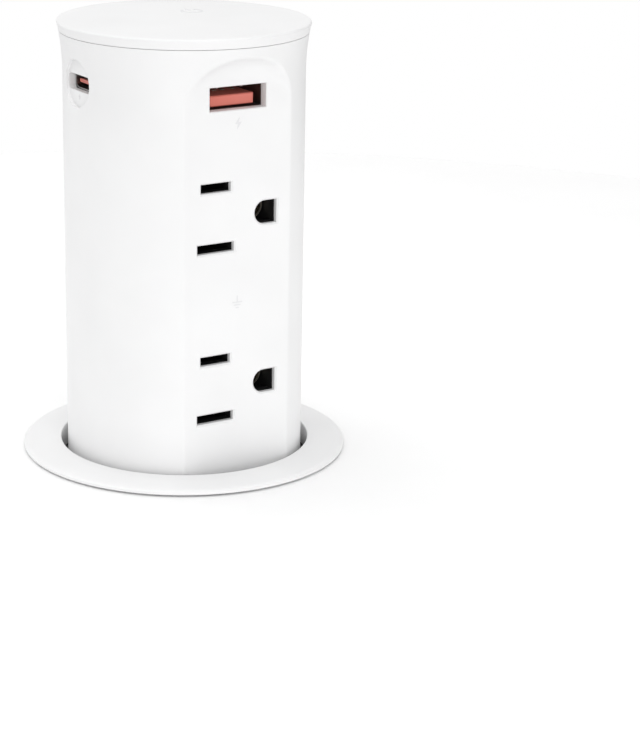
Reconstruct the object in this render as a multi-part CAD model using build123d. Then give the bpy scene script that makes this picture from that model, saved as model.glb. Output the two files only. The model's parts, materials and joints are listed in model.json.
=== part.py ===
from build123d import *
import math
import os

# Round pop-up power tower for a desk. Millimetres. The origin is on the tower's axis at the
# desk top, +Z is up, and the flat outlet face looks towards -Y. The tower is modelled raised. It
# slides down 92.5 mm: 91.3 mm until the lid is flush with the flange, and 1.2 mm for the push latch.

# ---------------------------------------------------------------- driving dimensions
BODY_R = 25.5                    # round body of the tower
FLARE_R = 26.2                   # the body's radius under the lid
FLARE_START = 83.0
SHELL_TOP = 91.05
SHELL_BOTTOM = -14.0
SHELL_WALL = 2.0
FLAT_Y = 22.15                   # distance of the outlet face from the axis
FLAT_WALL = 2.2
ARCH_Z = 65.4                    # centre of the arch that tops the outlet face
ARCH_R = 18.7                    # where the arch's concave cove starts
COVE_R = 5.0
COVE_END = 83.0                  # degrees that the cove has turned at the arch's edge

LID_BOTTOM = 91.15
LID_RIM = 93.3
LID_CROWN = 0.5
LID_R = 26.6
LID_SKIRT = 4.6

HOLE_R = 26.95                   # hole in the desk flange
FLANGE_R = 35.05
FLANGE_TOP = 2.0
GASKET_T = 0.4
LIP_BOTTOM = -3.0                # underside of the lip that stops the tower
BARREL_IN_R = 27.6
THREAD_R = 29.5                  # crest of the barrel's thread, for a 60 mm desk hole
PLAIN_R = 28.6                   # plain lower end of the barrel
THREAD_END = -84.0
BARREL_BOTTOM = -112.0
CAP_BOTTOM = -115.0
CAP_RING_TOP = -109.0
CAP_RING_IN_R = 24.0

DESK_T = 25.0                    # thickness of the desk that the nut is set for
WASHER_T = 2.0
WASHER_R = 36.0
NUT_H = 9.0
NUT_CLEARANCE = 0.05

OUTLET_Z = (19.05, 55.8)         # centres of the lower and the upper outlet
BLADE_X = -5.05
BLADE_HALF_PITCH = 6.35          # half of 12.7 mm
BLADE_W = (7.1, 8.7)             # live slot above, neutral slot below
BLADE_H = 2.0
GROUND_X = 6.84                  # 11.89 mm from the blade line
GROUND_R = 2.5
GROUND_ROUND_X = -0.1
GROUND_FLAT = 2.7
SLOT_BEVEL = 0.35
SLOT_WALL = 1.3                  # thickness of the face in front of the outlet blocks

BLOCK_HALF_W = 11.5              # insulating blocks behind the outlets
BLOCK_HALF_H = 15.0
BLOCK_BACK = -3.0
STRIP_Y = (-2.9, -2.1)           # bus strips behind the blocks
STRIP_X = (-9.2, -0.7)           # live and neutral
LEAF_T = 0.5                     # contact leaves
LEAF_HALF_W = 3.0
LEAF_GAP = 1.4
COVER_BACK = -0.4
COVER_SCREWS = ((-9.6, 37.4), (1.0, 37.4))

BOARD_Y = (6.0, 7.6)             # charger's upright board
PORT_BOARD = (76.0, 77.6)        # round board that carries both ports
CAPACITORS = ((-9.0, 60.0, 5.0, 11.0), (2.0, 60.0, 4.0, 10.0), (-8.0, 16.0, 5.0, 10.0))

USB_A_SIZE = (13.3, 4.9)
USB_A_Z = 80.4
USB_A_BEVEL = 0.2
USB_A_DEPTH = 13.5
USB_SHELL_WALL = 0.3
USB_C_SIZE = (8.94, 3.26)
USB_C_Z = 81.8
USB_C_DEPTH = 7.3
USB_C_FRONT = -23.15             # the connector's mouth
USB_C_CUT = (9.3, 3.4)           # hole through the tower's wall
SPOT_R = 5.0                     # shallow round recess around the smaller port
SPOT_DEPTH = 0.9

FOOT_BOTTOM = -16.0
FOOT_R = 27.4
FOOT_RING_TOP = -4.2
FOOT_SCREW_R = 20.6              # pitch radius of the foot's screws
FOOT_SCREW_ANGLES = (100, 215, 325)
RIB_W = 3.0                      # guide ribs inside the barrel
RIB_R = 26.4
RIB_ANGLES = (0, 90, 180)
RIB_CLEARANCE = 0.25
CAP_SCREW_ANGLES = (45, 165, 285)
CAP_SCREW_Z = -110.5

SPRING_AT = (15.5, 7.0)          # lift spring, its rod and its tube
TUBE_IN_R = 4.9
TUBE_OUT_R = 5.9
TUBE_TOP = 75.5
SPRING_R = 3.7
SPRING_WIRE_R = 0.45
SPRING_TURNS = 20
ROD_R = 2.4
ROD_TOP = -20.0

PIVOT = (-9.0, -107.0)           # x and z of the latch arm's pivot
ARM_LENGTH = 13.0
ARM_TILT = 9.9                   # degrees from upright, in the entry lane
PIVOT_R = 1.0
TRACER_R = 0.6
TRACK_Y = 13.6                   # face of the latch track
TRACK_DEPTH = 1.4
TRACK_HALF_W = 6.0
LANE_HALF_W = 3.3
ARM_Y = (11.3, 12.3)

GLAND_R = 6.0                    # cord gland in the foot
GLAND_AF = 15.0
GLAND_BOTTOM = -28.6
GLAND_FLANGE_BOTTOM = -19.0
BUSH_R = (5.2, 3.9)
BUSH_BOTTOM = -26.4
BUSH_TOP = -20.0

SLIVER = 0.05                    # assembly gap between neighbours of one body
OVERRUN = 40.0                   # how far a cutting solid runs past what it cuts
BLOCK_FRONT = -FLAT_Y + SLOT_WALL + SLIVER
PORT_FRONT = -FLAT_Y + FLAT_WALL + SLIVER

os.makedirs("parts", exist_ok=True)


# ---------------------------------------------------------------- helpers
def save(name, shape):
    """Write a node's solids to its own STEP file."""
    export_step(shape, f"parts/{name}.step")


def disc(r, z0, z1, at=(0, 0)):
    """An upright cylinder between two heights."""
    return Pos(at[0], at[1], (z0 + z1) / 2) * Cylinder(r, z1 - z0)


def ring(outer, inner, z0, z1, at=(0, 0)):
    """An upright tube between two heights."""
    return disc(outer, z0, z1, at) - disc(inner, z0 - 1, z1 + 1, at)


def block(x0, x1, y0, y1, z0, z1):
    """A box between two corners."""
    return Pos((x0 + x1) / 2, (y0 + y1) / 2, (z0 + z1) / 2) * Box(x1 - x0, y1 - y0, z1 - z0)


def rod_y(r, y0, y1, x, z):
    """A cylinder along Y."""
    return Pos(x, (y0 + y1) / 2, z) * Rot(90, 0, 0) * Cylinder(r, y1 - y0)


def rod_x(r, x0, x1, y, z):
    """A cylinder along X."""
    return Pos((x0 + x1) / 2, y, z) * Rot(0, 90, 0) * Cylinder(r, x1 - x0)


def hexagon(across_flats, z0, z1, at=(0, 0)):
    """A hexagonal prism."""
    face = RegularPolygon(across_flats / 2, 6, major_radius=False)
    return Pos(at[0], at[1], z0) * extrude(face, z1 - z0)


def drawn(plane, lines):
    """A face on a plane, inside a closed chain of lines and arcs."""
    return plane * make_face(Curve() + lines)


def polygon(plane, points):
    """A face on a plane with straight sides."""
    return plane * make_face(Polyline(points, close=True))


def d_prism(r, flat, z0, z1):
    """A round prism with its front cut flat."""
    return disc(r, z0, z1) - block(-OVERRUN, OVERRUN, -OVERRUN, -flat, z0 - 1, z1 + 1)


def cut_all(shape, tools):
    """A shape less each of several solids."""
    for tool in tools:
        shape -= tool
    return shape


def screw(shaft_r, head_r, head_h, length):
    """A pan-head screw with a cross recess, pointing up +Z, its head's seat at z = 0."""
    body = disc(head_r, -head_h, 0) + disc(shaft_r, 0, length)
    body = fillet(body.edges().group_by(Axis.Z)[0], head_h * 0.4)
    slot = head_r * 1.1
    recess = Box(slot, 0.4, head_h) + Box(0.4, slot, head_h)
    return body - Pos(0, 0, -head_h) * recess


# ---------------------------------------------------------------- tower casing
def face_cutter():
    """Everything in front of the outlet face, whose arched top is a concave cove."""
    end = math.radians(COVE_END)
    start = (ARCH_R, -FLAT_Y)
    mid = (ARCH_R + COVE_R * math.sin(end / 2), -FLAT_Y - COVE_R * (1 - math.cos(end / 2)))
    top = (ARCH_R + COVE_R * math.sin(end), -FLAT_Y - COVE_R * (1 - math.cos(end)))
    outline = [
        Line((0, -FLAT_Y), start),
        ThreePointArc(start, mid, top),
        Polyline([top, (top[0], -OVERRUN), (0, -OVERRUN), (0, -FLAT_Y)]),
    ]
    arch = revolve(drawn(Plane.XY.offset(ARCH_Z), outline), Axis((0, 0, ARCH_Z), (0, 1, 0)))
    return arch + block(-OVERRUN, OVERRUN, -OVERRUN, -FLAT_Y, SHELL_BOTTOM - 1, ARCH_Z)


def body_blank():
    """The outside of the tower, round with a flared top."""
    rise = SHELL_TOP - FLARE_START
    grow = FLARE_R - BODY_R
    arc_r = (rise**2 + grow**2) / (2 * grow)
    half = math.asin(rise / arc_r) / 2
    mid = (BODY_R + arc_r * (1 - math.cos(half)), FLARE_START + arc_r * math.sin(half))
    outline = [
        Polyline([(FLARE_R, SHELL_TOP), (0, SHELL_TOP), (0, SHELL_BOTTOM), (BODY_R, SHELL_BOTTOM)]),
        Line((BODY_R, SHELL_BOTTOM), (BODY_R, FLARE_START)),
        ThreePointArc((BODY_R, FLARE_START), mid, (FLARE_R, SHELL_TOP)),
    ]
    face = drawn(Plane.XZ, outline)
    return revolve(face, Axis.Z)


def slot_cutter(x, z, w, h, bevel):
    """A rectangular hole through the outlet face, with a bevelled mouth."""
    hole = block(x - w / 2, x + w / 2, -FLAT_Y - 1, -FLAT_Y + FLAT_WALL + 1, z - h / 2, z + h / 2)
    half_w, half_h = w / 2 + bevel, h / 2 + bevel
    front = block(x - half_w, x + half_w, -FLAT_Y - 1, -FLAT_Y, z - half_h, z + half_h)
    mouth = loft(
        [
            Plane.XZ.offset(FLAT_Y) * Pos(x, z) * Rectangle(2 * half_w, 2 * half_h),
            Plane.XZ.offset(FLAT_Y - bevel) * Pos(x, z) * Rectangle(w, h),
        ]
    )
    return hole + mouth + front


def ground_face(z, front, grow=0.0):
    """The ground hole's outline, round towards the blades and flat on the other side."""
    r = GROUND_R + grow
    flat = GROUND_FLAT + grow
    outline = [
        ThreePointArc((GROUND_ROUND_X, r), (GROUND_ROUND_X - r, 0), (GROUND_ROUND_X, -r)),
        Polyline([(GROUND_ROUND_X, -r), (flat, -r), (flat, r), (GROUND_ROUND_X, r)]),
    ]
    return drawn(Plane.XZ.offset(front) * Pos(GROUND_X, z), outline)


def ground_cutter(z, depth):
    """The ground hole as a solid that runs back from the outlet face."""
    return extrude(ground_face(z, FLAT_Y + 1), -(depth + 1))


def ground_bevel(z):
    """The bevelled mouth of the ground hole."""
    return loft([ground_face(z, FLAT_Y, SLOT_BEVEL), ground_face(z, FLAT_Y - SLOT_BEVEL)])


def foot_screw_places():
    """Centres of the screws that hold the foot to the shell."""
    angles = [math.radians(a) for a in FOOT_SCREW_ANGLES]
    return [(FOOT_SCREW_R * math.cos(a), FOOT_SCREW_R * math.sin(a)) for a in angles]


def make_tower_shell():
    shell = body_blank() - face_cutter()
    seams = [
        e
        for e in shell.edges()
        if e.length > 60 and abs(abs(e.center().X) - math.sqrt(BODY_R**2 - FLAT_Y**2)) < 0.1
    ]
    shell = fillet(seams, 1.2)
    shell -= d_prism(BODY_R - SHELL_WALL, FLAT_Y - FLAT_WALL, SHELL_BOTTOM - 1, SHELL_TOP + 1)
    for x, y in foot_screw_places():
        boss = disc(3.4, SHELL_BOTTOM, FOOT_RING_TOP, (x, y)) & disc(BODY_R - SHELL_WALL / 2, -20, 0)
        shell += boss - disc(1.2, SHELL_BOTTOM - 1, 0, (x, y))
    pad = block(-BODY_R + SPOT_DEPTH, USB_C_FRONT - SLIVER, -6.5, 6.5, USB_C_Z - 3.4, USB_C_Z + 3.4)
    shell += pad & disc(BODY_R - SHELL_WALL / 2, USB_C_Z - 5, USB_C_Z + 5)
    half_w, half_h = BLOCK_HALF_W + 0.1, BLOCK_HALF_H + 0.1
    low, high = OUTLET_Z[0] - half_h, OUTLET_Z[1] + half_h
    shell -= block(-half_w, half_w, -FLAT_Y + SLOT_WALL, -FLAT_Y + FLAT_WALL + 1, low, high)
    for z in OUTLET_Z:
        for side, w in zip((1, -1), BLADE_W):
            shell -= slot_cutter(BLADE_X, z + side * BLADE_HALF_PITCH, w, BLADE_H, SLOT_BEVEL)
        shell -= ground_cutter(z, FLAT_WALL + 1)
        shell -= ground_bevel(z)
    shell -= slot_cutter(0, USB_A_Z, USB_A_SIZE[0], USB_A_SIZE[1], USB_A_BEVEL)
    shell -= rod_x(SPOT_R, -OVERRUN, -BODY_R + SPOT_DEPTH, 0, USB_C_Z)
    shell -= extrude(Plane.YZ.offset(-BODY_R - 1) * Pos(0, USB_C_Z) * RectangleRounded(*USB_C_CUT, 1.0), 6)
    return shell


def make_lid():
    """Slightly crowned cap with a rounded rim and a skirt that plugs into the shell."""
    round_r = 0.45
    rim_r = LID_R - round_r
    top = LID_RIM + LID_CROWN
    corner = round_r * (1 - math.sqrt(0.5))
    outline = [
        Polyline([(rim_r, LID_RIM), (rim_r, top), (0, top), (0, LID_BOTTOM), (FLARE_R, LID_BOTTOM)]),
        Line((FLARE_R, LID_BOTTOM), (LID_R, LID_RIM - round_r)),
        ThreePointArc((LID_R, LID_RIM - round_r), (LID_R - corner, LID_RIM - corner), (rim_r, LID_RIM)),
    ]
    blank = revolve(drawn(Plane.XZ, outline), Axis.Z)
    crown_r = (rim_r**2 + LID_CROWN**2) / (2 * LID_CROWN)
    lid = blank & Pos(0, 0, top - crown_r) * Sphere(crown_r)
    skirt_r = BODY_R - SHELL_WALL - SLIVER
    skirt_flat = FLAT_Y - FLAT_WALL - SLIVER
    lid += d_prism(skirt_r, skirt_flat, LID_BOTTOM - LID_SKIRT, LID_BOTTOM + 0.5)
    return lid - d_prism(skirt_r - 1.6, skirt_flat - 1.6, LID_BOTTOM - LID_SKIRT - 1, LID_BOTTOM - 0.4)


def rib_notches():
    """Clearance around the barrel's guide ribs."""
    half = RIB_W / 2 + RIB_CLEARANCE
    return [Rot(0, 0, a) * block(RIB_R - 0.2, OVERRUN, -half, half, -20, 0) for a in RIB_ANGLES]


def make_tower_foot():
    plate = disc(FOOT_R, FOOT_BOTTOM, SHELL_BOTTOM)
    skirt = disc(FOOT_R, SHELL_BOTTOM, FOOT_RING_TOP)
    skirt -= d_prism(BODY_R + SLIVER, FLAT_Y + SLIVER, SHELL_BOTTOM, FOOT_RING_TOP + 1)
    foot = cut_all(plate + skirt, rib_notches())
    foot -= disc(GLAND_R, -20, 0)
    foot -= disc(TUBE_IN_R, -20, 0, SPRING_AT)
    foot -= block(-15.0, -3.0, 8.6, TRACK_Y - 0.1, -20, 0)
    for x, y in foot_screw_places():
        foot -= disc(1.3, -20, 0, (x, y))
    return foot


def make_foot_screws():
    screws = []
    for x, y in foot_screw_places():
        screws.append(Pos(x, y, FOOT_BOTTOM) * screw(1.18, 2.4, 1.4, 9.0))
    return Compound(children=screws)


def make_stop_ring():
    """Soft ring that meets the flange's lip when the tower is up."""
    return cut_all(ring(27.3, BODY_R + 0.2, FOOT_RING_TOP, LIP_BOTTOM - 0.02), rib_notches())


# ---------------------------------------------------------------- outlets
def clip_room(z):
    """The chamber in a socket block for one pair of contact leaves."""
    return block(BLADE_X - 4.7, BLADE_X + 4.7, BLOCK_FRONT + 2, BLOCK_BACK + 1, z - 2.6, z + 2.6)


def make_socket_block(z):
    """Insulating block behind one outlet."""
    body = block(-BLOCK_HALF_W, BLOCK_HALF_W, BLOCK_FRONT, BLOCK_BACK, z - BLOCK_HALF_H, z + BLOCK_HALF_H)
    for side, w in zip((1, -1), BLADE_W):
        zs = z + side * BLADE_HALF_PITCH
        body -= block(BLADE_X - w / 2, BLADE_X + w / 2, -OVERRUN, BLOCK_BACK, zs - 1, zs + 1)
        body -= clip_room(zs)
    body -= ground_cutter(z, FLAT_WALL + 4)
    body -= block(GROUND_X - 3, GROUND_X + 3, BLOCK_FRONT + 2, BLOCK_BACK + 1, z - 3.2, z + 3.2)
    return body


def leaf_pair(z, front, back):
    """Two contact leaves above and below a blade, joined at the back."""
    x0, x1 = BLADE_X - LEAF_HALF_W, BLADE_X + LEAF_HALF_W
    near = LEAF_GAP / 2
    far = near + LEAF_T
    upper = block(x0, x1, front, back, z + near, z + far)
    lower = block(x0, x1, front, back, z - far, z - near)
    return upper + lower + block(x0, x1, back, back + LEAF_T, z - far, z + far)


def make_blade_contacts(side, strip_x):
    """The contact leaves of both outlets on one bus strip."""
    z0, z1 = (z + side * BLADE_HALF_PITCH for z in OUTLET_Z)
    body = block(strip_x - 1.2, strip_x + 1.2, *STRIP_Y, z0 - 1.5, z1 + 1.5)
    for z in (z0, z1):
        body += leaf_pair(z, -14.0, -3.4)
        reach = sorted((strip_x, BLADE_X))
        body += block(reach[0], reach[1], *STRIP_Y, z - 1.0, z + 1.0)
    return body


def make_ground_contacts():
    """The sleeves of both ground holes on one bus strip."""
    z0, z1 = OUTLET_Z
    body = block(GROUND_X - 1.5, GROUND_X + 1.5, *STRIP_Y, z0 - 2, z1 + 2)
    for z in (z0, z1):
        sleeve = rod_y(2.7, -16.0, -2.9, GROUND_X, z) - rod_y(2.3, -17.0, -4.0, GROUND_X, z)
        body += sleeve - block(GROUND_X - 0.4, GROUND_X + 0.4, -17, -5, z, z + 4)
    return body


def make_socket_cover():
    """Plate that closes both socket blocks at the back."""
    low = OUTLET_Z[0] - BLOCK_HALF_H
    high = OUTLET_Z[1] + BLOCK_HALF_H
    cover = block(-BLOCK_HALF_W, BLOCK_HALF_W, STRIP_Y[1] + SLIVER, COVER_BACK, low, high)
    rim = block(-BLOCK_HALF_W, BLOCK_HALF_W, BLOCK_BACK + SLIVER, STRIP_Y[1] + SLIVER, low, high)
    rim -= block(-BLOCK_HALF_W + 1, BLOCK_HALF_W - 1, BLOCK_BACK - 1, 0, low + 1, high - 1)
    cover += rim
    for x, z in COVER_SCREWS:
        cover -= rod_y(1.1, -4, 1, x, z)
    return cover


def make_socket_cover_screws():
    screws = []
    for x, z in COVER_SCREWS:
        screws.append(Pos(x, COVER_BACK, z) * Rot(90, 0, 0) * screw(1.0, 1.9, 1.2, 1.5))
    return Compound(children=screws)


# ---------------------------------------------------------------- charger and ports
def make_charger_board():
    return block(-17.0, 8.0, *BOARD_Y, 4.0, 72.0)


def make_charger_transformer():
    core = block(-13.0, 3.0, BOARD_Y[1], 19.0, 30.0, 46.0)
    return fillet(core.edges().filter_by(Axis.Y), 1.5)


def make_charger_capacitors():
    cans = []
    for x, z, r, h in CAPACITORS:
        can = rod_y(r, BOARD_Y[1], BOARD_Y[1] + h, x, z)
        cans.append(fillet(can.edges().group_by(Axis.Y)[-1], 0.6))
    return Compound(children=cans)


def make_port_board():
    return d_prism(22.9, FLAT_Y - FLAT_WALL - 0.6, *PORT_BOARD)


def make_usb_a_shell():
    w, h = USB_A_SIZE
    wall = USB_SHELL_WALL
    front = PORT_FRONT
    back = front + USB_A_DEPTH
    outer = block(-w / 2 - wall, w / 2 + wall, front, back, USB_A_Z - h / 2 - wall, USB_A_Z + h / 2 + wall)
    inner = block(-w / 2, w / 2, front - 1, back - 0.4, USB_A_Z - h / 2, USB_A_Z + h / 2)
    legs = block(-w / 2, w / 2, back - 3, back - 1, PORT_BOARD[1], USB_A_Z - h / 2 - wall)
    return outer - inner + legs


def make_usb_a_tongue():
    """Contact carrier of the larger port, on its back wall."""
    back = PORT_FRONT + USB_A_DEPTH - 0.4
    tongue = block(-5.2, 5.2, PORT_FRONT + 0.5, back - 2, USB_A_Z - 2.0, USB_A_Z + 0.2)
    tongue = chamfer(tongue.edges().group_by(Axis.Y)[0], 0.2)
    heel = block(-6.4, 6.4, back - 2.5, back, USB_A_Z - 2.4, USB_A_Z + 2.4)
    return tongue + heel


def make_usb_c_shell():
    w, h = USB_C_SIZE
    front = USB_C_FRONT
    outer = extrude(Plane.YZ.offset(front) * Pos(0, USB_C_Z) * SlotOverall(w, h), USB_C_DEPTH)
    hollow = SlotOverall(w - 2 * USB_SHELL_WALL, h - 2 * USB_SHELL_WALL)
    inner = extrude(Plane.YZ.offset(front - 1) * Pos(0, USB_C_Z) * hollow, USB_C_DEPTH + 2.6)
    return outer - inner


def make_usb_c_tongue():
    """Contact tongue of the smaller port, with the riser that carries it on the board."""
    front = USB_C_FRONT
    tongue = block(front + 0.4, front + 7.5, -3.34, 3.34, USB_C_Z - 0.35, USB_C_Z + 0.35)
    heel = block(front + 7.35, front + 9.0, -4.4, 4.4, PORT_BOARD[1], USB_C_Z + 1.6)
    return tongue + heel


# ---------------------------------------------------------------- cord gland
def make_gland_body():
    body = disc(GLAND_R, -26.0, -10.5) + hexagon(GLAND_AF, GLAND_FLANGE_BOTTOM, FOOT_BOTTOM)
    return body - disc(4.6, -40, 0) - disc(BUSH_R[0], -40, BUSH_TOP)


def make_gland_locknut():
    return hexagon(GLAND_AF, SHELL_BOTTOM, -11.0) - disc(GLAND_R, -20, 0)


def make_gland_bush():
    return ring(*BUSH_R, BUSH_BOTTOM, BUSH_TOP)


def make_gland_nut():
    nut = hexagon(GLAND_AF, GLAND_BOTTOM, GLAND_FLANGE_BOTTOM - SLIVER) & turned_dome()
    return nut - disc(GLAND_R + 0.02, BUSH_BOTTOM - SLIVER, -18) - disc(4.4, -40, -20)


def turned_dome():
    """A dome that rounds off the lower end of the gland nut."""
    top = GLAND_FLANGE_BOTTOM - SLIVER
    outline = [
        Polyline([(5.4, GLAND_BOTTOM), (0, GLAND_BOTTOM), (0, top), (8.7, top), (8.7, -24.5)]),
        ThreePointArc((8.7, -24.5), (7.7, -27.2), (5.4, GLAND_BOTTOM)),
    ]
    return revolve(drawn(Plane.XZ, outline), Axis.Z)


# ---------------------------------------------------------------- flange and barrel
def make_flange_barrel():
    """Desk flange and the sleeve under it, one moulding."""
    edge = 0.3
    crown = [
        Line((HOLE_R, LIP_BOTTOM), (HOLE_R, FLANGE_TOP - edge)),
        ThreePointArc(
            (HOLE_R, FLANGE_TOP - edge), (HOLE_R + 0.09, FLANGE_TOP - 0.09), (HOLE_R + edge, FLANGE_TOP)
        ),
        ThreePointArc((HOLE_R + edge, FLANGE_TOP), (30.8, 1.86), (34.2, 1.45)),
        ThreePointArc((34.2, 1.45), (34.82, 1.22), (FLANGE_R, 0.75)),
        Polyline(
            [
                (FLANGE_R, 0.75),
                (FLANGE_R - 0.1, GASKET_T),
                (THREAD_R, GASKET_T),
                (THREAD_R, THREAD_END),
                (PLAIN_R, THREAD_END - 1.0),
                (PLAIN_R, BARREL_BOTTOM),
                (BARREL_IN_R, BARREL_BOTTOM),
                (BARREL_IN_R, LIP_BOTTOM),
                (HOLE_R, LIP_BOTTOM),
            ]
        ),
    ]
    barrel = revolve(drawn(Plane.XZ, crown), Axis.Z)
    for a in RIB_ANGLES:
        rib = block(RIB_R, BARREL_IN_R + 0.5, -RIB_W / 2, RIB_W / 2, CAP_RING_TOP + 0.5, LIP_BOTTOM)
        barrel += Rot(0, 0, a) * rib
    return barrel


def make_desk_gasket():
    return ring(34.0, THREAD_R + 0.4, 0, GASKET_T)


def radial_screws():
    """Countersunk screws through the barrel into the end cap."""
    screws = []
    for a in CAP_SCREW_ANGLES:
        shaft = rod_x(1.0, 24.8, 27.7, 0, CAP_SCREW_Z)
        head = Pos(28.1, 0, CAP_SCREW_Z) * Rot(0, 90, 0) * Cone(1.0, 1.9, 0.9)
        screws.append(Rot(0, 0, a) * (shaft + head))
    return screws


def make_end_cap():
    """Open cap that closes the barrel's wall and carries the spring and the latch."""
    floor = disc(PLAIN_R, CAP_BOTTOM, BARREL_BOTTOM) - disc(11.0, -120, -100)
    wall = ring(BARREL_IN_R - 0.1, CAP_RING_IN_R, BARREL_BOTTOM, CAP_RING_TOP)
    cap = chamfer(floor.edges().group_by(Axis.Z)[0].sort_by(SortBy.LENGTH)[-1], 0.6) + wall
    for a in RIB_ANGLES:
        cap -= Rot(0, 0, a) * block(RIB_R - 0.2, BARREL_IN_R, -1.8, 1.8, BARREL_BOTTOM, 0)
    cap -= disc(1.5, -120, -100, SPRING_AT)
    return cap


# ---------------------------------------------------------------- lift spring and latch
def make_spring_rod():
    rod = disc(ROD_R, BARREL_BOTTOM, ROD_TOP, SPRING_AT)
    rod = fillet(rod.edges().group_by(Axis.Z)[-1], 1.0)
    return rod + disc(1.5, CAP_BOTTOM, BARREL_BOTTOM, SPRING_AT)


def make_spring_tube():
    tube = disc(TUBE_OUT_R, SHELL_BOTTOM, TUBE_TOP, SPRING_AT)
    return tube - disc(TUBE_IN_R, SHELL_BOTTOM - 1, TUBE_TOP - 1, SPRING_AT)


def make_lift_spring():
    low = BARREL_BOTTOM + SPRING_WIRE_R + SLIVER
    height = TUBE_TOP - 1 - SPRING_WIRE_R - SLIVER - low
    path = Helix(pitch=height / SPRING_TURNS, height=height, radius=SPRING_R)
    section = Plane(origin=path @ 0, z_dir=path % 0) * Circle(SPRING_WIRE_R)
    return Pos(SPRING_AT[0], SPRING_AT[1], low) * sweep(section, path=path)


def make_latch_track():
    """Plate with a heart-shaped cam that catches the latch arm when the tower is pushed down."""
    x, _ = PIVOT
    lane = LANE_HALF_W
    plate = block(x - TRACK_HALF_W, x + TRACK_HALF_W, TRACK_Y, TRACK_Y + 2.6, SHELL_BOTTOM, 1.8)
    deep = TRACK_Y + TRACK_DEPTH
    groove = block(x - lane, x + lane, TRACK_Y - 1, deep, SHELL_BOTTOM - 1, 0.3)
    low = SHELL_BOTTOM - 1
    funnel_points = [(x - 5, low), (x + 5, low), (x + lane, -10.5), (x - lane, -10.5)]
    funnel = polygon(Plane.XZ.offset(-deep), funnel_points)
    plate = plate - groove - extrude(funnel, TRACK_DEPTH + 1)
    half = 1.3
    heart_points = [
        (x, -9.6),
        (x + half, -7.6),
        (x + half, -3.1),
        (x, -3.9),
        (x - half, -3.1),
        (x - half, -7.6),
    ]
    heart = polygon(Plane.XZ.offset(-deep), heart_points)
    return plate + extrude(heart, TRACK_DEPTH)


def make_latch_bracket():
    x, z = PIVOT
    base = block(x - 4, x + 4, 9.0, 13.2, BARREL_BOTTOM, BARREL_BOTTOM + 1.2)
    cheek = block(x - 2.2, x + 2.2, 9.6, 11.2, BARREL_BOTTOM, z + 2.2)
    bracket = base + cheek
    return bracket - rod_y(PIVOT_R, 0, 20, x, z)


def make_latch_pivot():
    x, z = PIVOT
    return rod_y(PIVOT_R, 9.6, 12.6, x, z) + rod_y(1.7, 12.6, 13.2, x, z)


def make_latch_arm():
    """Wire-thin arm with a tracer pin at its tip, leaning into the track's entry lane."""
    x, z = PIVOT
    hub = rod_y(1.9, ARM_Y[0], 12.5, x, z)
    strip = block(x - 0.8, x + 0.8, *ARM_Y, z, z + ARM_LENGTH)
    tip = rod_y(0.8, *ARM_Y, x, z + ARM_LENGTH)
    tracer = rod_y(TRACER_R, ARM_Y[1], TRACK_Y + TRACK_DEPTH - 0.3, x, z + ARM_LENGTH)
    arm = hub + strip + tip + tracer - rod_y(PIVOT_R + 0.05, 0, 20, x, z)
    return Pos(x, 0, z) * Rot(0, -ARM_TILT, 0) * Pos(-x, 0, -z) * arm


# ---------------------------------------------------------------- desk clamp
def make_clamp_washer():
    return ring(WASHER_R, THREAD_R + 0.4, -DESK_T - WASHER_T, -DESK_T)


def make_lock_nut():
    """Ring nut with finger lobes."""
    top = -DESK_T - WASHER_T
    nut = disc(34.0, top - NUT_H, top)
    for i in range(8):
        lobe = block(30.0, 37.0, -2.2, 2.2, top - NUT_H, top)
        lobe = fillet(lobe.edges().filter_by(Axis.Z).group_by(Axis.X)[-1], 1.5)
        nut += Rot(0, 0, 45 * i + 22.5) * lobe
    return nut - disc(THREAD_R + NUT_CLEARANCE, top - NUT_H - 1, top + 1)


# ---------------------------------------------------------------- write every node
END_CAP_SCREWS = radial_screws()
FLANGE_BARREL = cut_all(make_flange_barrel(), END_CAP_SCREWS)
END_CAP = cut_all(make_end_cap(), END_CAP_SCREWS)

NODES = {
    "flange_barrel": FLANGE_BARREL,
    "desk_gasket": make_desk_gasket(),
    "end_cap": END_CAP,
    "end_cap_screws": Compound(children=END_CAP_SCREWS),
    "spring_rod": make_spring_rod(),
    "lift_spring": make_lift_spring(),
    "latch_bracket": make_latch_bracket(),
    "latch_pivot": make_latch_pivot(),
    "latch_arm": make_latch_arm(),
    "clamp_washer": make_clamp_washer(),
    "lock_nut": make_lock_nut(),
    "lid": make_lid(),
    "tower_shell": make_tower_shell(),
    "tower_foot": make_tower_foot(),
    "foot_screws": make_foot_screws(),
    "stop_ring": make_stop_ring(),
    "socket_block_lower": make_socket_block(OUTLET_Z[0]),
    "socket_block_upper": make_socket_block(OUTLET_Z[1]),
    "live_contacts": make_blade_contacts(1, STRIP_X[0]),
    "neutral_contacts": make_blade_contacts(-1, STRIP_X[1]),
    "ground_contacts": make_ground_contacts(),
    "socket_cover": make_socket_cover(),
    "socket_cover_screws": make_socket_cover_screws(),
    "charger_board": make_charger_board(),
    "charger_transformer": make_charger_transformer(),
    "charger_capacitors": make_charger_capacitors(),
    "port_board": make_port_board(),
    "usb_a_shell": make_usb_a_shell(),
    "usb_a_tongue": make_usb_a_tongue(),
    "usb_c_shell": make_usb_c_shell(),
    "usb_c_tongue": make_usb_c_tongue(),
    "spring_tube": make_spring_tube(),
    "latch_track": make_latch_track(),
    "gland_body": make_gland_body(),
    "gland_locknut": make_gland_locknut(),
    "gland_bush": make_gland_bush(),
    "gland_nut": make_gland_nut(),
}

for node, shape in NODES.items():
    save(node, shape)
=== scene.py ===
"""Looks for the pop-up desk power tower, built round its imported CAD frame. Metres, +Z up."""
import json
import math

import bmesh
import bpy
from mathutils import Matrix, Vector


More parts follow.
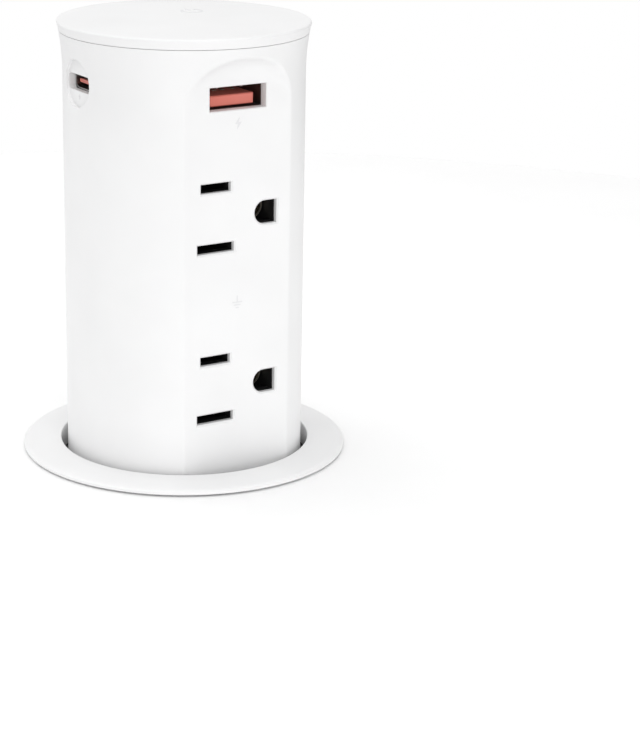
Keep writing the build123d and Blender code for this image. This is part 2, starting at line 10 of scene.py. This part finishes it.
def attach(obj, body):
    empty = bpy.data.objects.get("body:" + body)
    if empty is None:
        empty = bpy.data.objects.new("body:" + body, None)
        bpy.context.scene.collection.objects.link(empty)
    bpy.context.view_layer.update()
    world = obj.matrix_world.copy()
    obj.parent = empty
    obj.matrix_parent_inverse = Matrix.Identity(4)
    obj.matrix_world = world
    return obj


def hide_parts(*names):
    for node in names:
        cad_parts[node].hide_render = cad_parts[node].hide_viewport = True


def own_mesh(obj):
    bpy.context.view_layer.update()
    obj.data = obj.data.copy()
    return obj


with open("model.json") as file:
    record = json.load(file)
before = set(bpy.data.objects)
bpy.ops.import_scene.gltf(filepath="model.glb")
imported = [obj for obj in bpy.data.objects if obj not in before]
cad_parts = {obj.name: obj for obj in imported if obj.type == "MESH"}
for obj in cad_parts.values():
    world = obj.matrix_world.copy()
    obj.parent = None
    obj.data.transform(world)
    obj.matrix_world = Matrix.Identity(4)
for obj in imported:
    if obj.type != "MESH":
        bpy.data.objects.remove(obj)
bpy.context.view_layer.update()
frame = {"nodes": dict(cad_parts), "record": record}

MM = 0.001                       # metres in a millimetre
TAU = 2 * math.pi

# ---------------------------------------------------------------- sizes shared with the CAD, in mm
HOLE_R = 26.95                   # the flange's inner edge
FLANGE_R = 35.05
FLANGE_TOP = 2.0
FLANGE_UNDER = 0.4
LIP_BOTTOM = -3.0
BARREL_IN_R = 27.6
BARREL_BOTTOM = -112.0
PLAIN_R = 28.6                   # the sleeve below its thread, and the thread's root
RIB_IN_R = 26.4
RIB_HALF_W = 1.5
RIB_BOTTOM = -108.5
RIB_ANGLES = (0, 90, 180)
CAP_SCREW_Z = -110.5
CAP_SCREW_ANGLES = (45, 165, 285)
THREAD_R = 29.5
THREAD_TOP = -3.5
THREAD_END = -83.5
PITCH = 3.0
WASHER_TOP = -25.0
WASHER_BOTTOM = -27.0
WASHER_R = 36.0
WASHER_BORE_R = 29.9
NUT_BOTTOM = -36.0
NUT_R = 34.0
NUT_BORE_R = 29.75
NUT_LOBES = 8
SPRING_X = 15.5
SPRING_Y = 7.0
SPRING_R = 3.7
SPRING_WIRE_R = 0.45
SPRING_LOW = -111.55
SPRING_HIGH = 74.0
SPRING_TURNS = 22
SPRING_CLOSED_TURNS = 1.5        # closed turns at each end
FACE_Y = -22.15                  # the flat outlet face
LID_TOP = 93.8
CROWN_R = 684.0                  # the lid's crown
USB_A_TONGUE_TOP = 80.6
USB_A_TOP = 82.85                # inside of the port's shell
USB_A_STRIP_X = (-3.5, -1.0, 1.0, 3.5)
USB_A_STRIP_Y = (-14.2, -9.4)
USB_A_FINGER_X = (-3.6, 2.2)
USB_C_Z = 81.8
USB_C_STRIP_X = (-22.3, -18.2)
USB_C_STRIPS = 12
USB_C_STRIP_PITCH = 0.5
USB_C_SPOT_X = -24.62
MARK_T = 0.04                    # thickness of a printed mark

# ---------------------------------------------------------------- sizes of the stage, light and view
DESK_T = 25.0
DESK_R = 300.0
DESK_EDGE_T = 2.0
DESK_HOLE_R = 30.0
DESK_BEVEL_R = 60.0
WORLD_LIGHT = 0.79
WORLD_DIM = 0.58
CAMERA_AT = (-0.23907, -0.42084, 0.17090)
CAMERA_YAW = -33.101
CAMERA_PITCH = 17.612
CAMERA_ROLL = 1.031
CAMERA_LENS = 113.79


# ---------------------------------------------------------------- mesh helpers
def add_object(name, verts, faces):
    """A mesh object from points in mm."""
    mesh = bpy.data.meshes.new(name)
    mesh.from_pydata([tuple(c * MM for c in v) for v in verts], [], faces)
    mesh.validate()
    obj = bpy.data.objects.new(name, mesh)
    bpy.context.scene.collection.objects.link(obj)
    fix_normals(obj)
    return obj


def fix_normals(obj):
    """Point every face outwards."""
    bm = bmesh.new()
    bm.from_mesh(obj.data)
    bmesh.ops.recalc_face_normals(bm, faces=bm.faces)
    bm.to_mesh(obj.data)
    bm.free()


def shade(obj, angle=35):
    """Smooth shading with sharp edges past an angle."""
    for poly in obj.data.polygons:
        poly.use_smooth = True
    bm = bmesh.new()
    bm.from_mesh(obj.data)
    limit = math.radians(angle)
    for edge in bm.edges:
        edge.smooth = not (len(edge.link_faces) == 2 and edge.calc_face_angle(0) > limit)
    bm.to_mesh(obj.data)
    bm.free()


def apply_modifiers(obj):
    """Replace an object's mesh with its evaluated one."""
    deps = bpy.context.evaluated_depsgraph_get()
    mesh = bpy.data.meshes.new_from_object(obj.evaluated_get(deps))
    obj.modifiers.clear()
    old = obj.data
    obj.data = mesh
    bpy.data.meshes.remove(old)


def cut(obj, cutter):
    """Take one object out of another and drop the cutter."""
    mod = obj.modifiers.new("cut", "BOOLEAN")
    mod.operation = "DIFFERENCE"
    mod.solver = "EXACT"
    mod.object = cutter
    apply_modifiers(obj)
    bpy.data.objects.remove(cutter)


def round_edges(obj, width):
    """Bevel the sharp edges."""
    mod = obj.modifiers.new("round", "BEVEL")
    mod.width = width * MM
    mod.segments = 2
    mod.limit_method = "ANGLE"
    mod.angle_limit = math.radians(30)
    mod.harden_normals = False
    apply_modifiers(obj)
    return obj


def join(name, objects):
    """Several mesh objects as one."""
    bm = bmesh.new()
    for obj in objects:
        bm.from_mesh(obj.data)
        bpy.data.objects.remove(obj)
    mesh = bpy.data.meshes.new(name)
    bm.to_mesh(mesh)
    bm.free()
    obj = bpy.data.objects.new(name, mesh)
    bpy.context.scene.collection.objects.link(obj)
    return obj


def arc(radius, start, end, steps=40):
    """Points on an arc round the origin, angles in degrees."""
    points = []
    for i in range(steps + 1):
        a = math.radians(start + (end - start) * i / steps)
        points.append((radius * math.cos(a), radius * math.sin(a)))
    return points


def lathe(name, profile, segments, radius_at=None):
    """A closed profile of (r, z) points turned about Z. radius_at(angle, r) may reshape it round the turn."""
    count = len(profile)
    verts = []
    for i in range(segments):
        a = TAU * i / segments
        for r, z in profile:
            rr = radius_at(a, r) if radius_at else r
            verts.append((rr * math.cos(a), rr * math.sin(a), z))
    faces = []
    for i in range(segments):
        nxt = (i + 1) % segments
        for j in range(count):
            k = (j + 1) % count
            faces.append((i * count + j, nxt * count + j, nxt * count + k, i * count + k))
    return add_object(name, verts, faces)


def rounded_loop(corners, steps):
    """A closed outline of (x, y, radius) corners, each rounded in a few steps."""
    points = []
    total = len(corners)
    for i, corner in enumerate(corners):
        here = Vector(corner[:2])
        r = corner[2]
        before = Vector(corners[i - 1][:2])
        after = Vector(corners[(i + 1) % total][:2])
        if r <= 0:
            points.append(tuple(here))
            continue
        to_before = (before - here).normalized()
        to_after = (after - here).normalized()
        half = to_before.angle(to_after) / 2
        reach = r / math.tan(half)
        start = here + to_before * reach
        end = here + to_after * reach
        for s in range(steps + 1):
            t = s / steps
            p = start * (1 - t) ** 2 + here * 2 * t * (1 - t) + end * t**2
            points.append(tuple(p))
    return points


def prism(name, outline, thickness, place):
    """An outline in its own XY plane, extruded along its Z and moved by a matrix."""
    count = len(outline)
    verts = [(x, y, 0) for x, y in outline] + [(x, y, thickness) for x, y in outline]
    verts = [tuple(place @ Vector(v)) for v in verts]
    faces = [tuple(range(count - 1, -1, -1)), tuple(range(count, 2 * count))]
    faces += [(i, (i + 1) % count, count + (i + 1) % count, count + i) for i in range(count)]
    return add_object(name, verts, faces)


def box(name, x, y, z):
    """A box from three (low, high) pairs in mm."""
    outline = [(x[0], y[0]), (x[1], y[0]), (x[1], y[1]), (x[0], y[1])]
    return prism(name, outline, z[1] - z[0], Matrix.Translation((0, 0, z[0])))


def helix_ridge(name, root_r, crest_r, root_half, crest_half, z0, z1, phase=0.0):
    """A thread's ridge: a trapezoid swept along a right-handed helix, its height fading at both ends."""
    steps = 96
    total = int((z1 - z0) / PITCH * steps)
    fade = steps * 0.3
    verts = []
    for i in range(total + 1):
        grow = min(1.0, i / fade, (total - i) / fade)
        grow = 0.02 + 0.98 * grow * grow * (3 - 2 * grow)
        crest = root_r + (crest_r - root_r) * grow
        a = TAU * i / steps + phase
        z = z0 + PITCH * i / steps
        ring = [(root_r, -root_half), (crest, -crest_half), (crest, crest_half), (root_r, root_half)]
        verts += [(r * math.cos(a), r * math.sin(a), z + dz) for r, dz in ring]
    faces = []
    for i in range(total):
        here = 4 * i
        ahead = here + 4
        for j in range(4):
            k = (j + 1) % 4
            faces.append((here + j, ahead + j, ahead + k, here + k))
    faces.append((3, 2, 1, 0))
    last = total * 4
    faces.append((last, last + 1, last + 2, last + 3))
    return add_object(name, verts, faces)


# ---------------------------------------------------------------- materials
PLASTIC_IOR = 1.5
MOULD_GRAIN_DEPTH = 0.00002
METAL_GRAIN_DEPTH = 0.00001


def new_material(name):
    """A node material, with its nodes, links and main shader."""
    mat = bpy.data.materials.new(name)
    mat.use_nodes = True
    nodes = mat.node_tree.nodes
    return mat, nodes, mat.node_tree.links, nodes["Principled BSDF"]


def object_noise(nodes, links, scale, detail=4.0, stretch=(1, 1, 1)):
    """A noise texture in object space, sized in features per metre."""
    coords = nodes.new("ShaderNodeTexCoord")
    mapping = nodes.new("ShaderNodeMapping")
    mapping.inputs["Scale"].default_value = stretch
    noise = nodes.new("ShaderNodeTexNoise")
    noise.inputs["Scale"].default_value = scale
    noise.inputs["Detail"].default_value = detail
    links.new(coords.outputs["Object"], mapping.inputs["Vector"])
    links.new(mapping.outputs["Vector"], noise.inputs["Vector"])
    return noise


def two_tone(nodes, links, noise, low, high, target):
    """Drive a colour socket between two close tones."""
    ramp = nodes.new("ShaderNodeValToRGB")
    ramp.color_ramp.elements[0].position = 0.35
    ramp.color_ramp.elements[1].position = 0.65
    ramp.color_ramp.elements[0].color = (*low, 1)
    ramp.color_ramp.elements[1].color = (*high, 1)
    links.new(noise.outputs["Fac"], ramp.inputs["Fac"])
    links.new(ramp.outputs["Color"], target)


def drive_range(nodes, links, noise, low, high, target):
    """Drive a number socket between two values."""
    remap = nodes.new("ShaderNodeMapRange")
    remap.inputs["To Min"].default_value = low
    remap.inputs["To Max"].default_value = high
    links.new(noise.outputs["Fac"], remap.inputs["Value"])
    links.new(remap.outputs["Result"], target)


def add_bump(nodes, links, shader, noise, strength, distance):
    """Raise the surface's shading with a texture."""
    bump = nodes.new("ShaderNodeBump")
    bump.inputs["Strength"].default_value = strength
    bump.inputs["Distance"].default_value = distance
    links.new(noise.outputs["Fac"], bump.inputs["Height"])
    links.new(bump.outputs["Normal"], shader.inputs["Normal"])


def moulded(name, tone, rough, grain=5200, relief=0.12, spread=0.012):
    """Moulded plastic: a fine spark-eroded grain, faint flow tones and uneven gloss."""
    mat, nodes, links, shader = new_material(name)
    flow = object_noise(nodes, links, 60, 2.0)
    low = tuple(max(0.0, c - spread) for c in tone)
    high = tuple(min(1.0, c + spread) for c in tone)
    two_tone(nodes, links, flow, low, high, shader.inputs["Base Color"])
    gloss = object_noise(nodes, links, 240, 3.0)
    drive_range(nodes, links, gloss, rough - 0.03, rough + 0.03, shader.inputs["Roughness"])
    add_bump(nodes, links, shader, object_noise(nodes, links, grain, 2.0), relief, MOULD_GRAIN_DEPTH)
    shader.inputs["IOR"].default_value = PLASTIC_IOR
    return mat


def rubber(name, tone):
    """Matt rubber with a coarse grain."""
    return moulded(name, tone, 0.75, grain=2600, relief=0.5, spread=0.008)


def metal(name, tone, rough, stretch=(1, 1, 1), grain=900, relief=0.15):
    """Bare or plated metal with drawing or rolling marks along one axis."""
    mat, nodes, links, shader = new_material(name)
    shader.inputs["Metallic"].default_value = 1.0
    marks = object_noise(nodes, links, grain, 4.0, stretch)
    low = tuple(c * 0.9 for c in tone)
    two_tone(nodes, links, marks, low, tone, shader.inputs["Base Color"])
    drive_range(nodes, links, marks, rough - 0.06, rough + 0.08, shader.inputs["Roughness"])
    add_bump(nodes, links, shader, marks, relief, METAL_GRAIN_DEPTH)
    return mat


def circuit_board(name):
    """Solder mask over copper tracks."""
    mat, nodes, links, shader = new_material(name)
    coords = nodes.new("ShaderNodeTexCoord")
    tracks = nodes.new("ShaderNodeTexBrick")
    tracks.inputs["Scale"].default_value = 240
    tracks.inputs["Mortar Size"].default_value = 0.035
    tracks.inputs["Color1"].default_value = (0.012, 0.13, 0.05, 1)
    tracks.inputs["Color2"].default_value = (0.015, 0.15, 0.06, 1)
    tracks.inputs["Mortar"].default_value = (0.03, 0.26, 0.1, 1)
    links.new(coords.outputs["Object"], tracks.inputs["Vector"])
    links.new(tracks.outputs["Color"], shader.inputs["Base Color"])
    gloss = object_noise(nodes, links, 500)
    drive_range(nodes, links, gloss, 0.22, 0.34, shader.inputs["Roughness"])
    return mat


def winding_tape(name):
    """Yellow polyester tape in overlapping turns."""
    mat, nodes, links, shader = new_material(name)
    coords = nodes.new("ShaderNodeTexCoord")
    wave = nodes.new("ShaderNodeTexWave")
    wave.bands_direction = "Z"
    wave.inputs["Scale"].default_value = 90
    wave.inputs["Distortion"].default_value = 0.6
    links.new(coords.outputs["Object"], wave.inputs["Vector"])
    two_tone(nodes, links, wave, (0.62, 0.44, 0.04), (0.78, 0.6, 0.1), shader.inputs["Base Color"])
    drive_range(nodes, links, wave, 0.25, 0.4, shader.inputs["Roughness"])
    return mat


WHITE = (0.86, 0.86, 0.862)
MATERIALS = {
    "body_white": moulded("body_white", WHITE, 0.36),
    "lid_white": moulded("lid_white", WHITE, 0.42),
    "flange_white": moulded("flange_white", WHITE, 0.38),
    "inner_plastic": moulded("inner_plastic", (0.33, 0.34, 0.36), 0.5),
    "clamp_plastic": moulded("clamp_plastic", (0.8, 0.8, 0.8), 0.48, relief=0.25),
    "track_plastic": moulded("track_plastic", (0.78, 0.77, 0.7), 0.4),
    "socket_black": moulded("socket_black", (0.012, 0.012, 0.013), 0.5, spread=0.004),
    "gasket_rubber": rubber("gasket_rubber", (0.03, 0.03, 0.031)),
    "screw_steel": metal("screw_steel", (0.62, 0.62, 0.6), 0.32),
    "rod_steel": metal("rod_steel", (0.66, 0.66, 0.67), 0.22, (1, 1, 0.04)),
    "spring_steel": metal("spring_steel", (0.56, 0.56, 0.57), 0.3),
    "port_steel": metal("port_steel", (0.34, 0.33, 0.32), 0.34),
    "port_coral": moulded("port_coral", (0.72, 0.2, 0.155), 0.4, spread=0.02),
    "contact_brass": metal("contact_brass", (0.5, 0.46, 0.38), 0.34),
    "circuit_board": circuit_board("circuit_board"),
    "coil_tape": winding_tape("coil_tape"),
    "capacitor_can": moulded("capacitor_can", (0.03, 0.035, 0.06), 0.25),
    "gland_plastic": moulded("gland_plastic", (0.03, 0.03, 0.03), 0.45, relief=0.3),
}
PRINT_GREY = moulded("print_grey", (0.77, 0.77, 0.78), 0.5)


def dress(obj, slot):
    """Give a piece the material of its record slot."""
    obj.data.materials.clear()
    obj.data.materials.append(MATERIALS[slot])


def place_piece(obj, body, slot, *nodes, angle=35):
    """Finish a new piece: shading, material, body and the CAD nodes that it stands for."""
    shade(obj, angle)
    dress(obj, slot)
    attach(obj, body)
    if nodes:
        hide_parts(*nodes)


# ---------------------------------------------------------------- flange, sleeve and clamp
def flange_profile():
    """The sleeve's section: crowned flange, stop lip and straight barrel at the thread's root radius."""
    corners = [
        (HOLE_R, FLANGE_TOP, 0.3),
        (30.8, 1.86, 0.0),
        (34.3, 1.42, 2.0),
        (FLANGE_R, 0.98, 0.35),
        (FLANGE_R - 0.08, FLANGE_UNDER, 0.15),
        (THREAD_R, FLANGE_UNDER, 0.15),
        (THREAD_R, THREAD_TOP + 0.9, 0.2),
        (PLAIN_R, THREAD_TOP, 0.2),
        (PLAIN_R, BARREL_BOTTOM, 0.15),
        (BARREL_IN_R, BARREL_BOTTOM, 0.1),
        (BARREL_IN_R, LIP_BOTTOM, 0.1),
        (HOLE_R, LIP_BOTTOM, 0.2),
    ]
    return rounded_loop(corners, 5)


def make_sleeve():
    """The flange and its sleeve: countersinks for the cap screws, guide ribs and the thread."""
    sleeve = lathe("sleeve", flange_profile(), 256)
    for angle in CAP_SCREW_ANGLES:
        cone = lathe("countersink", [(0.02, -0.3), (1.95, -0.3), (1.0, 0.8), (0.98, 4.0), (0.02, 4.0)], 32)
        turn = Matrix.Rotation(math.radians(angle), 4, "Z")
        seat = Matrix.Translation((PLAIN_R * MM, 0, CAP_SCREW_Z * MM))
        inwards = Matrix.Rotation(math.radians(-90), 4, "Y")
        cone.data.transform(turn @ seat @ inwards)
        cut(sleeve, cone)
    ribs = []
    for angle in RIB_ANGLES:
        rib = box("rib", (RIB_IN_R, BARREL_IN_R + 0.2), (-RIB_HALF_W, RIB_HALF_W), (RIB_BOTTOM, LIP_BOTTOM))
        rib.data.transform(Matrix.Rotation(math.radians(angle), 4, "Z"))
        ribs.append(round_edges(rib, 0.2))
    ridge = helix_ridge("ridge", PLAIN_R - 0.1, THREAD_R, 0.8, 0.32, THREAD_END, THREAD_TOP)
    sleeve = join("flange_sleeve", [sleeve, *ribs, ridge])
    place_piece(sleeve, "base", "flange_white", "flange_barrel")


def nut_lobes(a, r):
    """The nut's radius at an angle: round near the bore, lobed outside."""
    round_to = NUT_R - 2.5
    if r < round_to:
        return r
    wave = max(0.0, math.cos(NUT_LOBES * a - math.pi))
    return r + 3.0 * wave**1.5 * (r - round_to) / 2.5


def make_nut():
    """Ring nut with finger lobes, a chamfered face and an internal thread."""
    corners = [
        (NUT_R, WASHER_BOTTOM, 0.9),
        (NUT_R, NUT_BOTTOM, 1.2),
        (NUT_BORE_R, NUT_BOTTOM, 0.5),
        (NUT_BORE_R, WASHER_BOTTOM, 0.5),
    ]
    body = lathe("nut_body", rounded_loop(corners, 5), 512, nut_lobes)
    low = NUT_BOTTOM + 0.9
    high = WASHER_BOTTOM - 0.9
    phase = TAU * (low - THREAD_END) / PITCH + math.pi
    ridge = helix_ridge("nut_ridge", NUT_BORE_R + 0.15, 28.8, 0.72, 0.28, low, high, phase)
    nut = join("ring_nut", [body, ridge])
    place_piece(nut, "nut", "clamp_plastic", "lock_nut")


def make_washer():
    """Pressed clamp washer with rounded edges and a shallow raised bead."""
    bead = WASHER_BOTTOM + 0.35
    corners = [
        (WASHER_R, WASHER_TOP, 0.4),
        (WASHER_R, WASHER_BOTTOM, 0.6),
        (WASHER_R - 1.4, WASHER_BOTTOM, 0.3),
        (WASHER_R - 1.6, bead, 0.2),
        (WASHER_BORE_R + 1.0, bead, 0.2),
        (WASHER_BORE_R + 0.8, WASHER_BOTTOM, 0.3),
        (WASHER_BORE_R, WASHER_BOTTOM, 0.3),
        (WASHER_BORE_R, WASHER_TOP, 0.4),
    ]
    washer = lathe("washer", rounded_loop(corners, 4), 256)
    place_piece(washer, "washer", "clamp_plastic", "clamp_washer")


def make_lift_spring():
    """Compression spring with closed ends."""
    ring_steps = 40
    side_count = 10
    total = SPRING_TURNS * ring_steps
    closed = 2 * SPRING_WIRE_R + 0.02
    closed_length = 2 * SPRING_CLOSED_TURNS * closed
    open_pitch = (SPRING_HIGH - SPRING_LOW - closed_length) / (SPRING_TURNS - 2 * SPRING_CLOSED_TURNS)
    verts = []
    z = SPRING_LOW
    for i in range(total + 1):
        turn = i / ring_steps
        a = TAU * turn
        out = Vector((math.cos(a), math.sin(a), 0))
        centre = Vector((SPRING_X, SPRING_Y, z)) + out * SPRING_R
        for k in range(side_count):
            b = TAU * k / side_count
            point = centre + (out * math.cos(b) + Vector((0, 0, 1)) * math.sin(b)) * SPRING_WIRE_R
            verts.append(tuple(point))
        near_end = min(turn, SPRING_TURNS - turn)
        blend = min(1.0, max(0.0, (near_end - SPRING_CLOSED_TURNS + 0.25) / 0.5))
        z += (closed + (open_pitch - closed) * blend * blend * (3 - 2 * blend)) / ring_steps
    faces = []
    for i in range(total):
        here = i * side_count
        ahead = here + side_count
        for k in range(side_count):
            m = (k + 1) % side_count
            faces.append((here + k, here + m, ahead + m, ahead + k))
    faces.append(tuple(range(side_count - 1, -1, -1)))
    faces.append(tuple(range(total * side_count, (total + 1) * side_count)))
    spring = add_object("coil_spring", verts, faces)
    place_piece(spring, "base", "spring_steel", "lift_spring", angle=60)
    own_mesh(spring)


# ---------------------------------------------------------------- port contacts
def make_usb_a_contacts():
    """Four gilt strips along the carrier's upper side."""
    strips = []
    top = USB_A_TONGUE_TOP
    for x in USB_A_STRIP_X:
        strip = box("strip", (x - 0.5, x + 0.5), USB_A_STRIP_Y, (top - 0.05, top + 0.08))
        strips.append(round_edges(strip, 0.05))
    place_piece(join("usb_a_contacts", strips), "tower", "contact_brass")


def make_usb_a_springs():
    """Two pressed fingers of the port's shell that grip a plug from above."""
    outline = [
        (-19.7, 0),
        (-19.35, -0.75),
        (-18.8, -0.95),
        (-18.3, -0.75),
        (-15.2, -0.02),
        (-15.2, 0.03),
        (-19.7, 0.03),
    ]
    upright = Matrix(((0, 0, 1, 0), (1, 0, 0, 0), (0, 1, 0, 0), (0, 0, 0, 1)))
    fingers = []
    for x in USB_A_FINGER_X:
        place = Matrix.Translation((x, 0, USB_A_TOP)) @ upright
        fingers.append(round_edges(prism("finger", outline, 0.4, place), 0.06))
    place_piece(join("usb_a_springs", fingers), "tower", "spring_steel")


def make_usb_c_contacts():
    """Twelve small strips on each side of the tongue."""
    strips = []
    for i in range(USB_C_STRIPS):
        y = (i - (USB_C_STRIPS - 1) / 2) * USB_C_STRIP_PITCH
        for z in (USB_C_Z + 0.34, USB_C_Z - 0.38):
            strips.append(box("strip", USB_C_STRIP_X, (y - 0.13, y + 0.13), (z, z + 0.04)))
    place_piece(join("usb_c_contacts", strips), "tower", "contact_brass")


# ---------------------------------------------------------------- carried-over CAD nodes
def dress_cad_nodes():
    """Give each carried-over CAD node the material of its slot."""
    slots = {s["node"]: s["material_slot"] for s in frame["record"]["subparts"]}
    for node, obj in frame["nodes"].items():
        dress(obj, slots[node])


# ---------------------------------------------------------------- printed marks
def face_place(x, z):
    """Matrix from a mark's own plane to the outlet face, mm."""
    return Matrix.Translation((x, FACE_Y - MARK_T / 2, z)) @ Matrix.Rotation(math.radians(90), 4, "X")


def side_place(y, z, x):
    """Matrix from a mark's own plane to the spot face on the side, mm."""
    turn = Matrix.Rotation(math.radians(-90), 4, "Z") @ Matrix.Rotation(math.radians(90), 4, "X")
    return Matrix.Translation((x, y, z)) @ turn


def bolt_outline(size):
    """A lightning bolt, the usual sign for charging."""
    shape = [(0.12, 0.5), (-0.3, -0.06), (-0.03, -0.06), (-0.12, -0.5), (0.3, 0.08), (0.03, 0.08)]
    return [(x * size, y * size) for x, y in shape]


def make_earth_mark():
    """The protective earth sign, between the outlets: a stem over three bars."""
    line_half = 0.1
    parts = [prism("stem", [(-line_half, 0), (line_half, 0), (line_half, 1.3), (-line_half, 1.3)], MARK_T,
                   face_place(0, 37.5))]
    for half, height in ((1.2, 0.0), (0.8, -0.6), (0.4, -1.2)):
        low = height - line_half
        high = height + line_half
        parts.append(prism("bar", [(-half, low), (half, low), (half, high), (-half, high)], MARK_T,
                           face_place(0, 37.4)))
    return join("earth_mark", parts)


def make_power_mark():
    """The standby sign, printed on the crowned lid: an open ring and a stem."""
    x = 4.8
    y = 5.3
    surface = LID_TOP - (x**2 + y**2) / (2 * CROWN_R)
    place = Matrix.Translation((x, y, surface - MARK_T))
    ring = arc(2.4, 125, 415) + arc(1.9, 415, 125)
    stem = [(-0.25, 0.8), (0.25, 0.8), (0.25, 2.9), (-0.25, 2.9)]
    thick = 2.5 * MARK_T
    return join("power_mark", [prism("ring", ring, thick, place), prism("stem", stem, thick, place)])


def make_marks():
    """Plain generic signs in faint grey print."""
    marks = [
        prism("bolt_mark", bolt_outline(2.6), MARK_T, face_place(0, 75.2)),
        prism("side_bolt_mark", bolt_outline(1.3), MARK_T, side_place(0, 79.0, USB_C_SPOT_X)),
        make_earth_mark(),
        make_power_mark(),
    ]
    for mark in marks:
        shade(mark, 30)
        mark.data.materials.clear()
        mark.data.materials.append(PRINT_GREY)
        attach(mark, "tower")


# ---------------------------------------------------------------- stage, light and camera
def make_stage():
    """A round white desk top that the unit is clamped in, bevelled below so that low views show the clamp."""
    corners = [
        (DESK_R, 0, 0.8),
        (DESK_R, -DESK_EDGE_T, 0.8),
        (DESK_BEVEL_R, -DESK_T, 0.8),
        (DESK_HOLE_R, -DESK_T, 0.2),
        (DESK_HOLE_R, 0, 0.2),
    ]
    desk = lathe("desk_top", rounded_loop(corners, 4), 256)
    shade(desk)
    mat, nodes, links, shader = new_material("desk_white")
    grain = object_noise(nodes, links, 40, 2.0)
    two_tone(nodes, links, grain, (0.97, 0.97, 0.97), (0.98, 0.98, 0.98), shader.inputs["Base Color"])
    shader.inputs["Roughness"].default_value = 0.6
    shader.inputs["Emission Color"].default_value = (1, 1, 1, 1)
    shader.inputs["Emission Strength"].default_value = 0.02
    desk.data.materials.append(mat)


def make_world():
    """A pale surround: white where the camera sees it, a little darker as light, and dimmer on both sides."""
    world = bpy.data.worlds.new("studio")
    bpy.context.scene.world = world
    world.use_nodes = True
    nodes, links = world.node_tree.nodes, world.node_tree.links
    lit = nodes["Background"]
    lit.inputs["Color"].default_value = (1, 1, 1, 1)
    coords = nodes.new("ShaderNodeTexCoord")
    split = nodes.new("ShaderNodeSeparateXYZ")
    side = nodes.new("ShaderNodeMath")
    side.operation = "ABSOLUTE"
    dim = nodes.new("ShaderNodeMapRange")
    dim.interpolation_type = "SMOOTHSTEP"
    dim.inputs["From Min"].default_value = 0.35
    dim.inputs["From Max"].default_value = 1.0
    dim.inputs["To Min"].default_value = WORLD_LIGHT
    dim.inputs["To Max"].default_value = WORLD_DIM
    links.new(coords.outputs["Generated"], split.inputs["Vector"])
    links.new(split.outputs["X"], side.inputs[0])
    links.new(side.outputs["Value"], dim.inputs["Value"])
    links.new(dim.outputs["Result"], lit.inputs["Strength"])
    seen = nodes.new("ShaderNodeBackground")
    seen.inputs["Color"].default_value = (1, 1, 1, 1)
    seen.inputs["Strength"].default_value = 1.0
    mix = nodes.new("ShaderNodeMixShader")
    path = nodes.new("ShaderNodeLightPath")
    links.new(path.outputs["Is Camera Ray"], mix.inputs["Fac"])
    links.new(lit.outputs["Background"], mix.inputs[1])
    links.new(seen.outputs["Background"], mix.inputs[2])
    links.new(mix.outputs["Shader"], nodes["World Output"].inputs["Surface"])


def area_light(name, location, target, size, watts):
    """A square soft light aimed at a point."""
    data = bpy.data.lights.new(name, "AREA")
    data.shape = "SQUARE"
    data.size = size
    data.energy = watts
    light = bpy.data.objects.new(name, data)
    light.location = location
    aim = Vector(target) - Vector(location)
    light.rotation_euler = aim.to_track_quat("-Z", "Y").to_euler()
    bpy.context.scene.collection.objects.link(light)


def make_lights():
    """A broad light overhead, a softer one in front and a weak one behind the left edge."""
    area_light("top", (-0.15, 0.15, 1.15), (0, 0, 0.04), 1.2, 4.8)
    area_light("front", (-0.3, -1.0, 0.3), (0, 0, 0.06), 0.6, 3.0)
    area_light("rim", (-0.45, 0.9, 0.2), (0, 0, 0.05), 0.5, 1.2)


def make_camera():
    """The camera that took the view: its place, its three angles and its lens."""
    yaw, pitch, roll = (math.radians(a) for a in (CAMERA_YAW, CAMERA_PITCH, CAMERA_ROLL))
    ahead = Vector((-math.sin(yaw) * math.cos(pitch), math.cos(yaw) * math.cos(pitch), -math.sin(pitch)))
    level = Vector((math.cos(yaw), math.sin(yaw), 0))
    above = level.cross(ahead)
    right = level * math.cos(roll) + above * math.sin(roll)
    up = above * math.cos(roll) - level * math.sin(roll)
    turn = Matrix((right, up, -ahead)).transposed().to_4x4()
    data = bpy.data.cameras.new("camera")
    data.sensor_width = 36.0
    data.lens = CAMERA_LENS
    data.clip_start = 0.01
    data.clip_end = 10.0
    camera = bpy.data.objects.new("camera", data)
    camera.matrix_world = Matrix.Translation(CAMERA_AT) @ turn
    bpy.context.scene.collection.objects.link(camera)
    bpy.context.scene.camera = camera


# ---------------------------------------------------------------- build
dress_cad_nodes()
make_sleeve()
make_nut()
make_washer()
make_lift_spring()
make_usb_a_contacts()
make_usb_a_springs()
make_usb_c_contacts()
make_marks()
make_stage()
make_world()
make_lights()
make_camera()
bpy.context.scene.view_settings.view_transform = "Standard"
bpy.context.view_layer.update()
